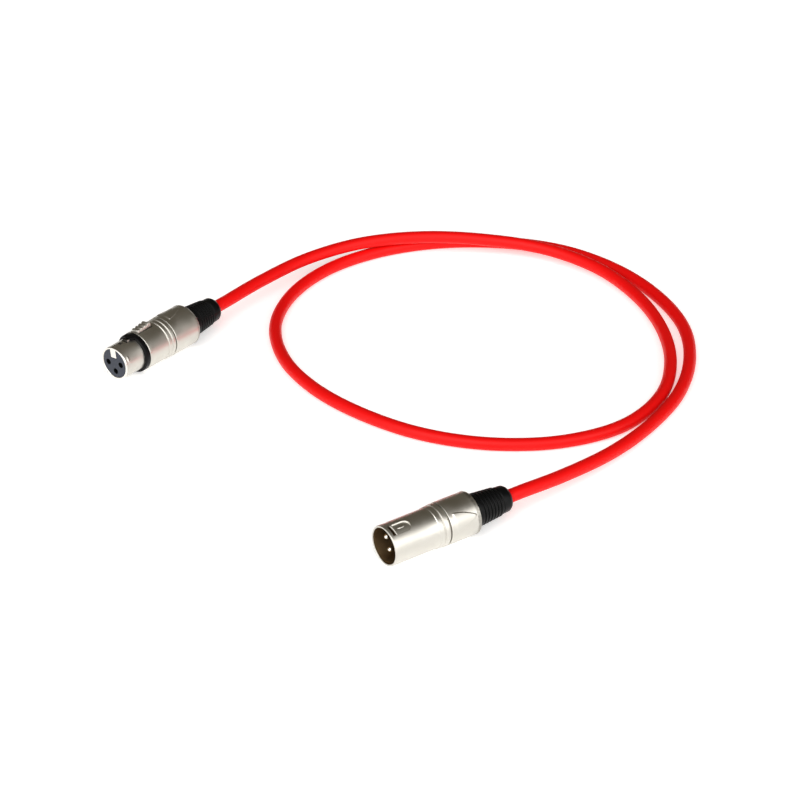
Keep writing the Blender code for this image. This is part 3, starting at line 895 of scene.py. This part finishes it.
@dataclass
class FemalePlug(Plug):
    """Plug with three sockets, a keyed barrel and a latch."""

    plate: Finish = Finish.NICKEL_TURNED
    barrel_radius: float = 8.5
    bore_radius: float = 7.55
    barrel_length: float = 12.3
    body_radius: float = 10.05
    contact_radius: float = 1.6
    latch_width: float = 3.4
    tab_front: float = 16.2
    tab_rear: float = 25.2
    tab_top: float = 12.2
    tab_width: float = 4.2
    pivot: tuple[float, float] = (27.0, 7.0)
    pin_radius: float = 0.6
    slot_floor: float = 6.0
    latch_clearance: float = 0.4
    tab_clearance: float = 0.6
    spot_angle: float = 70.0
    spot_station: float = 2.4
    spot_height: float = 0.16
    well_radius: float = 1.5
    insert_rear: float = 22.0
    arm_top: float = 8.3
    arm_under: float = 7.5
    tab_ridges: int = 4

    def bump_depth(self, station: float, angle: float) -> float:
        """The small raised contact spot on the barrel's side, as a negative depth.

        Args:
            station: Millimetres from the mating face.
            angle: Degrees from the latch side towards -Y.

        Returns:
            Depth in millimetres.
        """
        across = math.radians(angle - self.spot_angle) * self.barrel_radius
        away = math.hypot((station - self.spot_station) / 0.55, across / 1.7)
        return -self.spot_height * smooth_step(1.5 - away, 0.0, 0.9)

    def front_shell(self) -> None:
        """Barrel and body in one casting, slotted for the latch."""
        outer, bore, body, seam = self.barrel_radius, self.bore_radius, self.body_radius, self.seam
        shoulder = self.barrel_length + 3.0
        corners = [(0.0, bore + 0.12, 0.1), (0.0, outer - 0.16, 0.22)]
        corners += stations(0.4, 4.6, 0.3, outer)
        corners += [(shoulder, outer, 0.05), (shoulder, body - 0.1, 0.25), (shoulder + 0.35, body, 0.3),
                    (27.8, body, 0.2), (28.0, body - 0.28, 0.12), (28.35, body - 0.28, 0.12),
                    (28.6, body + 0.12, 0.2), (30.3, body + 0.14, 0.2), (30.5, body - 0.2, 0.12),
                    (30.85, body - 0.2, 0.12), (31.1, body + 0.24, 0.2), (32.6, body + 0.3, 0.25),
                    (32.9, body, 0.1), (seam, body, 0.05), (seam, self.thread_radius, 0.1),
                    (seam + 4.2, self.thread_radius, 0.1), (seam + 4.2, bore, 0.1), (0.15, bore, 0.0)]
        bm = turned(corners, self.sides)
        press(bm, outer - 0.3, self.bump_depth)
        bm = cut(bm, [block((0.12, -1.8, 3.0), (4.3, 1.8, bore + 0.3), 0.12)], "UNION")
        half = self.latch_width / 2 + self.latch_clearance
        tab_half = self.tab_width / 2 + self.tab_clearance
        low = self.slot_floor
        cutters = [block((7.9, -half, low), (15.2, half, 12.0), 0.15),
                   block((15.1, -half, low), (16.0, half, 8.9)),
                   block((15.9, -tab_half, low), (26.0, tab_half, 13.0), 0.35),
                   block((25.9, -half, low), (29.0, half, 8.9)),
                   block((4.7, -1.0, low), (6.8, 1.0, 12.0), 0.1)]
        hole, reach = self.pin_radius + 0.05, 4.6
        pin_hole = turned([(-reach, 0.0, 0.0), (-reach, hole, 0.0), (reach, hole, 0.0), (reach, 0.0, 0.0)],
                          24, Axis.ACROSS, closed=False)
        cutters.append(moved(pin_hole, x=self.pivot[0], z=self.pivot[1]))
        bm = cut(bm, cutters)

        def rim_highlight(point: Vector) -> bool:
            """Whether a face lies on the front rim, painted a brighter nickel as a highlight on its edge."""
            return point.x < 0.3 * MM

        # The rim gets the brighter plate, a painted highlight.
        self.fit("shell", bm, self.plate, Slot.SATIN_NICKEL, "front_shell", 40.0, (Finish.RIM_HIGHLIGHT, rim_highlight))

    def colour_ring(self) -> None:
        """Black ring with a tongue over the latch."""
        start, end = self.barrel_length + 0.1, self.barrel_length + 2.9
        inner, outer = self.barrel_radius + 0.05, 9.95
        bm = turned([(start, inner, 0.05), (start, outer - 0.25, 0.35), (start + 0.4, outer, 0.25),
                     (end, outer, 0.15), (end, inner, 0.05)], self.sides)
        tongue = block((start - 1.8, -3.2, inner + 0.2), (start + 1.2, 3.2, outer - 0.2), 0.3)
        self.fit("marking_ring", cut(bm, [tongue], "UNION"), Finish.BLACK, Slot.BLACK_PLASTIC, "colour_ring")

    def insert(self) -> None:
        """Moulded cylinder with a keyway and three contact wells, whose walls are painted black as shade."""
        front, rear, radius = 0.2, self.insert_rear, self.bore_radius - 0.08
        bm = turned([(front, 0.0, 0.0), (front, radius, 0.12), (rear, radius, 0.2), (rear, 0.0, 0.0)],
                    96, closed=False)
        entry, seat = self.well_radius, self.contact_radius + 0.1
        hole = [(-1.0, 0.0, 0.0), (-1.0, entry, 0.0), (2.5, entry, 0.0), (2.5, seat, 0.0),
                (rear + 1, seat, 0.0), (rear + 1, 0.0, 0.0)]
        centres = self.pole_centres()
        cutters = [moved(turned(hole, 32, closed=False), y=y, z=z) for y, z in centres]
        cutters.append(block((-1.0, -2.1, 2.75), (rear + 1, 2.1, 9.0), 0.25))
        reach = (seat + 0.05) * MM

        def well_shade(point: Vector) -> bool:
            """Whether a face lies in a contact's well, painted black as shade down the hole."""
            if point.x < (front + 0.05) * MM:
                return False
            return any(math.hypot(point.y - y * MM, point.z - z * MM) < reach for y, z in centres)

        # The well walls take the black plastic: painted shade inside the holes of the slate moulding.
        self.fit("socket_carrier", cut(bm, cutters), Finish.SLATE, Slot.SLATE_PLASTIC, "insert",
                 second=(Finish.BLACK, well_shade))

    def lever(self) -> None:
        """Latch lever: hook, arm, ribbed thumb tab and eye."""
        px, pz = self.pivot
        top, under = self.arm_top, self.arm_under
        arm = [(8.7, under), (8.7, top - 0.1), (9.2, 9.1), (10.2, 9.1), (10.9, top), (17.0, top),
               (px, pz + 1.5), (px + 1.1, pz + 1.0), (px + 1.5, pz), (px + 1.1, pz - 1.0),
               (px, pz - 1.5), (px - 1.3, pz - 0.9), (px - 2.4, under)]
        bm = plate(arm, self.latch_width / 2, 0.08)
        seat = top - 0.12
        tab = [(self.tab_front, seat), (self.tab_front, self.tab_top - 1.6)]
        pitch = (self.tab_rear - self.tab_front) / self.tab_ridges
        for ridge in range(self.tab_ridges):
            at, rise = self.tab_front + ridge * pitch, 0.3 * ridge
            crest = self.tab_top - 0.9 + rise
            tab += [(at + 0.45, crest), (at + 1.35, crest), (at + pitch - 0.35, crest - 0.62)]
        tab[-1] = (self.tab_rear, self.tab_top - 0.6)
        tab += [(self.tab_rear, seat)]
        thumb = plate(tab, self.tab_width / 2, 0.14)
        reach, hole = 3.0, self.pin_radius + 0.05
        eye = turned([(-reach, 0.0, 0.0), (-reach, hole, 0.0), (reach, hole, 0.0), (reach, 0.0, 0.0)],
                     24, Axis.ACROSS, closed=False)
        bm = cut(cut(bm, [thumb], "UNION"), [moved(eye, x=px, z=pz)])

        def shaded_arm(point: Vector) -> bool:
            """Whether a face lies on the arm in front of the thumb tab, painted near black as shade down in
            its slot.
            """
            return point.x < 15.2 * MM

        # The arm in front of the tab takes the near-black plate, painted shade in the slot.
        self.fit("latch", bm, self.plate, Slot.BRIGHT_NICKEL, "latch_lever", second=(Finish.ARM_SHADE, shaded_arm),
                 body=Body.LATCH)

    def contacts(self) -> None:
        """Three tubular sockets with rolled lips and solder cups."""
        front, rear, wall, bore = 2.8, 26.5, self.contact_radius, 1.25
        corners = [(18.0, 0.0, 0.0), (18.0, bore, 0.0), (front, bore, 0.12), (front, wall, 0.12),
                   (20.0, wall, 0.1), (20.6, 1.25, 0.1), (rear, 1.25, 0.1), (rear, 0.8, 0.1),
                   (rear - 2.5, 0.8, 0.0), (rear - 2.5, 0.0, 0.0)]
        for number, (y, z) in enumerate(self.pole_centres(), start=1):
            bm = moved(turned(corners, 32, closed=False), y=y, z=z)
            self.fit(f"socket_{number}", bm, Finish.SILVER, Slot.SILVER_CONTACT, f"contact_{number}")

    def dress_latch_parts(self) -> None:
        """Finishes for the latch's pin and spring, which stay as packed."""
        for part in ("latch_pin", "latch_spring"):
            dress(self.node(part), self.rack[Finish.STEEL])

    def build(self) -> None:
        """Makes and dresses every piece of the plug."""
        self.front_shell()
        self.colour_ring()
        self.rear_sleeve()
        self.insert()
        self.contacts()
        self.lever()
        self.boot()
        self.dress_latch_parts()
        self.dress_inner_parts()


# --- cable ---


@dataclass
class Cable:
    """The jacket from one plug to the other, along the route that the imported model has."""

    rack: Rack
    female: Plug
    male: Plug
    radius: float = 3.2
    inside: float = 29.0
    straight: float = 8.0
    route: tuple[tuple[float, float, float], ...] = (
        (61.2, 123.5, 10.3), (94.9, 130.3, 10), (126.8, 128, 10.1), (157.1, 115.7, 9.8), (184.1, 95.8, 8.6),
        (206.2, 71.8, 6.6), (217.4, 41.1, 4.9), (216.2, 8.1, 3.7), (205.9, -23.2, 3.25),
        (188.1, -51.1, 3.25), (163.6, -72.7, 3.25), (132.8, -82.9, 3.25), (100.7, -77.7, 3.25),
        (72.2, -60.4, 3.25), (50.6, -34.9, 3.25), (37.4, -4.2, 3.25), (31.6, 28.7, 3.25),
        (34.9, 60.8, 3.25), (49.2, 91.1, 3.25), (73.7, 113.2, 3.25), (104.4, 125, 3.25),
        (137.4, 125.2, 3.25), (168.6, 115, 3.25), (196.1, 95.6, 3.25), (216.2, 70.1, 3.25),
        (226, 38.3, 3.25), (225.7, 5.3, 3.25), (216.5, -26.9, 3.25), (197.6, -54.4, 3.25),
        (172.1, -76, 3.25), (142, -90.5, 3.4), (110.9, -100.3, 4.9), (77.8, -106.1, 7.7),
    )

    def station(self, plug: Plug, distance: float) -> Vector:
        """A point on a plug's axis.

        Args:
            plug: The plug.
            distance: Millimetres from its mating face.

        Returns:
            The point in metres, in the row frame.
        """
        return plug.matrix @ Vector((distance * MM, 0, 0))

    def path(self, pitch: float = 2.0) -> np.ndarray:
        """Evenly spaced points of the centreline.

        Args:
            pitch: Distance between points, in millimetres.

        Returns:
            Points in metres, one per row.
        """
        ends = [-self.inside, 0.0, self.straight]
        points = [self.station(self.female, self.female.length + distance) for distance in ends]
        points += [Vector(point) * MM for point in self.route]
        points += [self.station(self.male, self.male.length + distance) for distance in reversed(ends)]
        dense = centripetal(np.array(points))
        length = np.concatenate([[0], np.cumsum(np.linalg.norm(np.diff(dense, axis=0), axis=1))])
        marks = np.linspace(0, length[-1], round(length[-1] / (pitch * MM)) + 1)
        return np.stack([np.interp(marks, length, dense[:, axis]) for axis in range(3)], axis=1)

    def build(self) -> None:
        path = self.path()
        curve = bpy.data.curves.new("jacket_line", "CURVE")
        curve.dimensions = "3D"
        curve.bevel_depth = self.radius * MM
        curve.bevel_resolution = 6
        curve.use_fill_caps = True
        spline = curve.splines.new("POLY")
        spline.points.add(len(path) - 1)
        for spot, point in zip(spline.points, path):
            spot.co = (*point, 1.0)
        line = bpy.data.objects.new("jacket_line", curve)
        bpy.context.scene.collection.objects.link(line)
        bpy.context.view_layer.update()
        shape = bpy.data.meshes.new_from_object(line.evaluated_get(bpy.context.evaluated_depsgraph_get()))
        bpy.data.objects.remove(line)
        bm = bmesh.new()
        bm.from_mesh(shape)
        bpy.data.meshes.remove(shape)
        bmesh.ops.remove_doubles(bm, verts=bm.verts, dist=0.001 * MM)
        bmesh.ops.recalc_face_normals(bm, faces=bm.faces)
        self.lay_uv(bm, path)
        piece = finished("red_jacket", bm, self.rack[Finish.JACKET], Body.CABLE,
                         "cable_jacket")

    def lay_uv(self, bm: bmesh.types.BMesh, path: np.ndarray) -> None:
        """Gives the tube a UV map: decimetres along it and turns round it.

        Args:
            bm: The tube.
            path: Its centreline, in metres.
        """
        layer = bm.loops.layers.uv.new("along_jacket")
        steps = np.linalg.norm(np.diff(path, axis=0), axis=1)
        length = np.concatenate([[0], np.cumsum(steps)])
        places = {}
        for vert in bm.verts:
            nearest = int(np.argmin(((path - np.array(vert.co)) ** 2).sum(axis=1)))
            ahead = path[min(nearest + 1, len(path) - 1)] - path[max(nearest - 1, 0)]
            side = np.cross(ahead, (0.0, 0.0, 1.0))
            out = np.array(vert.co) - path[nearest]
            turn = math.atan2(out[2], float(out @ side) / np.linalg.norm(side)) / (2 * math.pi)
            places[vert] = (length[nearest] * 10, turn % 1.0)
        for face in bm.faces:
            turns = [places[loop.vert][1] for loop in face.loops]
            wraps = max(turns) - min(turns) > 0.5
            for loop, turn in zip(face.loops, turns):
                loop[layer].uv = (places[loop.vert][0], turn + 1.0 if wraps and turn < 0.5 else turn)


def centripetal(points: np.ndarray, steps: int = 30) -> np.ndarray:
    """A centripetal curve through points.

    Args:
        points: The points, one per row.
        steps: Steps between neighbours.

    Returns:
        Points of the curve.
    """
    padded = np.vstack([2 * points[0] - points[1], points, 2 * points[-1] - points[-2]])
    made = []
    for a, b, c, d in zip(padded, padded[1:], padded[2:], padded[3:]):
        t1, t2, t3 = np.cumsum([math.sqrt(np.linalg.norm(q - p)) for p, q in ((a, b), (b, c), (c, d))])
        for t in np.linspace(t1, t2, steps, endpoint=False):
            ab = (t1 - t) / t1 * a + t / t1 * b
            bc = (t2 - t) / (t2 - t1) * b + (t - t1) / (t2 - t1) * c
            cd = (t3 - t) / (t3 - t2) * c + (t - t2) / (t3 - t2) * d
            abc = (t2 - t) / t2 * ab + t / t2 * bc
            bcd = (t3 - t) / (t3 - t1) * bc + (t - t1) / (t3 - t1) * cd
            made.append((t2 - t) / (t2 - t1) * abc + (t - t1) / (t2 - t1) * bcd)
    return np.array([*made, points[-1]])


# --- studio ---


@dataclass(frozen=True)
class Lamp:
    """A square soft light: its place and side in metres, and its power in watts."""

    name: str
    place: tuple[float, float, float]
    size: float
    power: float


@dataclass
class Studio:
    """Plain white floor, soft lights and the camera."""

    target: tuple[float, float, float] = (0.0624, 0.0012, 0.0)
    azimuth: float = 35.15
    elevation: float = 31.5
    distance: float = 1.340
    lens: float = 124.9
    floor_glow: float = 0.42
    bright: tuple[float, float, float] = (1.75, 1.73, 1.70)
    dim: tuple[float, float, float] = (0.106, 0.092, 0.068)
    fade: tuple[float, float] = (0.02, 0.48)
    floor_half_side: float = 6.0
    lamps: tuple[Lamp, ...] = (
        Lamp("key_light", (-0.9, -0.5, 1.0), 0.9, 5.0),
        Lamp("fill_light", (0.5, -1.2, 0.7), 0.9, 3.0),
    )

    def camera(self) -> None:
        """Camera that looks at the middle of the loop."""
        data = bpy.data.cameras.new("camera")
        data.sensor_width = 36.0
        data.lens = self.lens
        item = bpy.data.objects.new("camera", data)
        turn, rise = math.radians(self.azimuth), math.radians(self.elevation)
        back = Vector((-math.sin(turn) * math.cos(rise), -math.cos(turn) * math.cos(rise), math.sin(rise)))
        item.location = Vector(self.target) + back * self.distance
        item.rotation_euler = (-back).to_track_quat("-Z", "Y").to_euler()
        bpy.context.scene.collection.objects.link(item)
        bpy.context.scene.camera = item

    def floor(self) -> None:
        """Seamless white floor, lit from within a little so that shadows stay soft."""
        desk = NodeDesk("studio_floor")
        desk.set(Base_Color=(0.93, 0.93, 0.93, 1.0), Roughness=0.9, Specular_IOR_Level=0.0)
        desk.set(Emission_Color=(1.0, 1.0, 1.0, 1.0), Emission_Strength=self.floor_glow)
        bm = bmesh.new()
        bmesh.ops.create_grid(bm, x_segments=1, y_segments=1, size=self.floor_half_side)
        mesh = bpy.data.meshes.new("studio_floor")
        bm.to_mesh(mesh)
        bm.free()
        mesh.materials.append(desk.material)
        item = bpy.data.objects.new("studio_floor", mesh)
        item.location = (0.0, 0.0, 0.0)
        bpy.context.scene.collection.objects.link(item)

    def light(self, lamp: Lamp) -> None:
        """Sets up a lamp so that it faces the loop.

        Args:
            lamp: What to set up.
        """
        data = bpy.data.lights.new(lamp.name, "AREA")
        data.size = lamp.size
        data.energy = lamp.power
        item = bpy.data.objects.new(lamp.name, data)
        item.location = lamp.place
        item.rotation_euler = (Vector(lamp.place) - Vector(self.target)).to_track_quat("Z", "Y").to_euler()
        bpy.context.scene.collection.objects.link(item)

    def surroundings(self) -> None:
        """A bright wall behind the camera that fades to a dim studio over and beyond the cable."""
        world = bpy.data.worlds.new("studio")
        world.use_nodes = True
        tree = world.node_tree
        turn = math.radians(self.azimuth)
        way = tree.nodes.new("ShaderNodeTexCoord")
        along = tree.nodes.new("ShaderNodeVectorMath")
        along.operation = "DOT_PRODUCT"
        along.inputs[1].default_value = (-math.sin(turn), -math.cos(turn), 0.0)
        fade = tree.nodes.new("ShaderNodeMapRange")
        fade.interpolation_type = "SMOOTHSTEP"
        fade.inputs["From Min"].default_value = self.fade[0]
        fade.inputs["From Max"].default_value = self.fade[1]
        mix = tree.nodes.new("ShaderNodeMix")
        mix.data_type = "RGBA"
        colours = [socket for socket in mix.inputs if socket.type == "RGBA"]
        colours[0].default_value = (*self.dim, 1.0)
        colours[1].default_value = (*self.bright, 1.0)
        result = next(socket for socket in mix.outputs if socket.type == "RGBA")
        tree.links.new(way.outputs["Generated"], along.inputs[0])
        tree.links.new(along.outputs["Value"], fade.inputs["Value"])
        tree.links.new(fade.outputs["Result"], mix.inputs["Factor"])
        tree.links.new(result, tree.nodes["Background"].inputs["Color"])
        bpy.context.scene.world = world

    def build(self) -> None:
        """Sets the whole studio up."""
        self.camera()
        self.floor()
        self.surroundings()
        for lamp in self.lamps:
            self.light(lamp)
        bpy.context.scene.view_settings.view_transform = "Standard"
        bpy.context.scene.view_settings.look = "None"


# --- assembly ---


def male_place() -> Vector:
    """Middle of the male plug's mating face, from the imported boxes."""
    low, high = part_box("male_rear_sleeve")
    return Vector((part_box("male_front_shell")[0].x, (low.y + high.y) / 2, (low.z + high.z) / 2))


def female_place() -> Vector:
    """Middle of the female plug's mating face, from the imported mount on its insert."""
    mount = next(item for item in frame["record"]["mounts"] if item["name"] == "female_mating_face")
    return Vector(mount["pos_m"]) + Vector(mount["axis"]) * 0.2 * MM


def main() -> None:
    """Builds the studio, the cable and both plugs."""
    logging.basicConfig(level=logging.INFO, format="%(name)s: %(message)s")
    rack = {finish: finish.value.build() for finish in Finish}
    male = MalePlug("male", rack, male_place(), heading=Heading.MALE.value, roll=17.0, seam=29.6,
                    sleeve_end=46.7, length=67.1, sleeve_radius=10.2, thread_radius=9.1, petal_turn=46.0)
    female = FemalePlug("female", rack, female_place(), heading=Heading.FEMALE.value, roll=-7.0, seam=33.0,
                        sleeve_end=51.1, length=70.6, sleeve_radius=10.5, thread_radius=8.9, petal_turn=0.0)
    Studio().build()
    Cable(rack, female, male).build()
    male.build()
    female.build()


if __name__ == "__main__":
    main()
